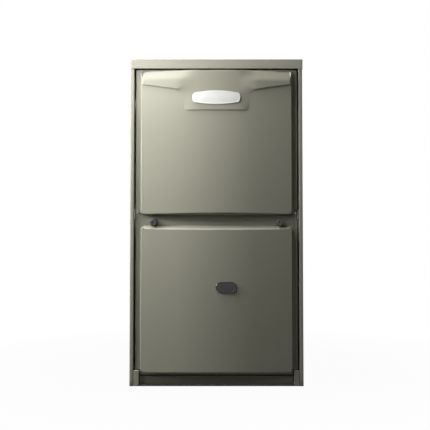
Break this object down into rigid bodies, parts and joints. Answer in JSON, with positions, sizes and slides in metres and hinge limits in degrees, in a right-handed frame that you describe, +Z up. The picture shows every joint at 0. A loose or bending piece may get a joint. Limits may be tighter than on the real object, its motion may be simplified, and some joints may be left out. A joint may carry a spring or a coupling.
{
  "type": "forced air gas furnace",
  "caption": "Upright condensing furnace: sheet cabinet with two bowed lift-off doors, burners, heat exchangers, inducer, blower, controls, vent and gas connections.",
  "frame": {"origin": "middle of the overall box at floor level, where the furnace stands", "axes": "+X to the viewer's right, +Y from the doors to the back, +Z up along the tallest extent"},
  "size_m": [0.4454, 0.7512, 0.84],
  "materials": {
    "cabinet_enamel": "semi-gloss warm grey baked enamel on steel sheet",
    "galvanised_steel": "spangled zinc, dull",
    "aluminised_steel": "satin, faintly heat tinted",
    "stainless_steel": "fine brushed",
    "black_pipe": "black mill scale under lacquer",
    "cast_valve": "die cast, satin",
    "motor_shell": "dark textured paint",
    "plated_steel": "bright zinc plate",
    "spud_brass": "turned, satin",
    "black_nylon": "moulded, satin",
    "knob_nylon": "moulded, satin",
    "smoked_lens": "moulded, glossy",
    "badge_plastic": "smooth, blank",
    "white_pipe": "extruded, satin",
    "header_plastic": "glass filled, moulded",
    "trap_plastic": "moulded, translucent look",
    "hose_rubber": "satin",
    "foil_insulation": "foil faced glass fibre",
    "igniter_ceramic": "fired, matt",
    "board_laminate": "solder mask",
    "core_iron": "varnished laminations",
    "red_button": "moulded",
    "white_button": "moulded"
  },
  "bodies": {
    "cabinet": {"left_side_panel": "cabinet_enamel", "right_side_panel": "cabinet_enamel", "rear_panel": "cabinet_enamel", "top_cap": "cabinet_enamel", "cap_screws": "plated_steel", "base_pan": "galvanised_steel", "base_rail": "cabinet_enamel", "corner_feet": "cabinet_enamel", "door_rest_tabs": "galvanised_steel", "blower_deck": "galvanised_steel", "vestibule_panel": "galvanised_steel", "insulation_liner": "foil_insulation", "burner_box": "galvanised_steel", "burner_1": "stainless_steel", "burner_2": "stainless_steel", "burner_3": "stainless_steel", "gas_manifold": "black_pipe", "gas_orifices": "spud_brass", "gas_valve": "cast_valve", "igniter": "igniter_ceramic", "flame_sensor": "igniter_ceramic", "rollout_switch": "black_nylon", "heat_exchanger_1": "aluminised_steel", "heat_exchanger_2": "aluminised_steel", "heat_exchanger_3": "aluminised_steel", "condensing_coil": "stainless_steel", "cold_end_header": "header_plastic", "inducer_housing": "header_plastic", "inducer_motor": "motor_shell", "flue_pipe": "white_pipe", "air_intake_pipe": "white_pipe", "pressure_switch": "galvanised_steel", "pressure_hose": "hose_rubber", "condensate_trap": "trap_plastic", "blower_scroll": "galvanised_steel", "blower_side_left": "galvanised_steel", "blower_side_right": "galvanised_steel", "blower_motor": "motor_shell", "motor_mount": "plated_steel", "run_capacitor": "cast_valve", "control_tray": "galvanised_steel", "control_board": "board_laminate", "transformer": "core_iron", "door_switch": "black_nylon", "wiring_harness": "hose_rubber"},
    "upper_door": {"upper_door": "cabinet_enamel", "badge_plate": "badge_plastic"},
    "lower_door": {"lower_door": "cabinet_enamel", "sight_glass": "smoked_lens"},
    "left_latch": {"left_knob": "knob_nylon", "left_stud": "plated_steel"},
    "right_latch": {"right_knob": "knob_nylon", "right_stud": "plated_steel"},
    "blower_rotor": {"blower_shaft": "plated_steel", "blower_wheel": "galvanised_steel"},
    "inducer_rotor": {"inducer_shaft": "plated_steel", "inducer_wheel": "header_plastic"},
    "gas_switch": {"gas_valve_knob": "black_nylon"},
    "switch_plunger": {"door_switch_plunger": "white_button"},
    "reset_button": {"rollout_button": "red_button"}
  },
  "joints": [
    {"name": "upper_door_off", "type": "slide", "parent": "cabinet", "child": "upper_door", "axis": [0, -1, 0], "range_m": [0, 0.25]},
    {"name": "lower_door_off", "type": "slide", "parent": "cabinet", "child": "lower_door", "axis": [0, -1, 0], "range_m": [0, 0.25]},
    {"name": "left_knob_turn", "type": "hinge", "parent": "lower_door", "child": "left_latch", "pos_m": [-0.1614, -0.348, 0.416], "axis": [0, 1, 0], "range_deg": [0, 90]},
    {"name": "right_knob_turn", "type": "hinge", "parent": "lower_door", "child": "right_latch", "pos_m": [0.1614, -0.348, 0.416], "axis": [0, 1, 0], "range_deg": [0, 90]},
    {"name": "blower_spin", "type": "hinge", "parent": "cabinet", "child": "blower_rotor", "pos_m": [0, 0.0844, 0.202], "axis": [1, 0, 0], "continuous": true},
    {"name": "inducer_spin", "type": "hinge", "parent": "cabinet", "child": "inducer_rotor", "pos_m": [0.108, -0.29, 0.529], "axis": [0, 1, 0], "continuous": true},
    {"name": "gas_knob_turn", "type": "hinge", "parent": "cabinet", "child": "gas_switch", "pos_m": [-0.1823, -0.3256, 0.75], "axis": [0, 1, 0], "range_deg": [0, 90]},
    {"name": "door_switch_press", "type": "slide", "parent": "cabinet", "child": "switch_plunger", "axis": [0, 1, 0], "range_m": [0, 0.003], "stiffness_N_per_m": 400, "springref_m": -0.002},
    {"name": "reset_press", "type": "slide", "parent": "cabinet", "child": "reset_button", "axis": [0, 0, -1], "range_m": [0, 0.0015], "stiffness_N_per_m": 500, "springref_m": -0.001}
  ]
}
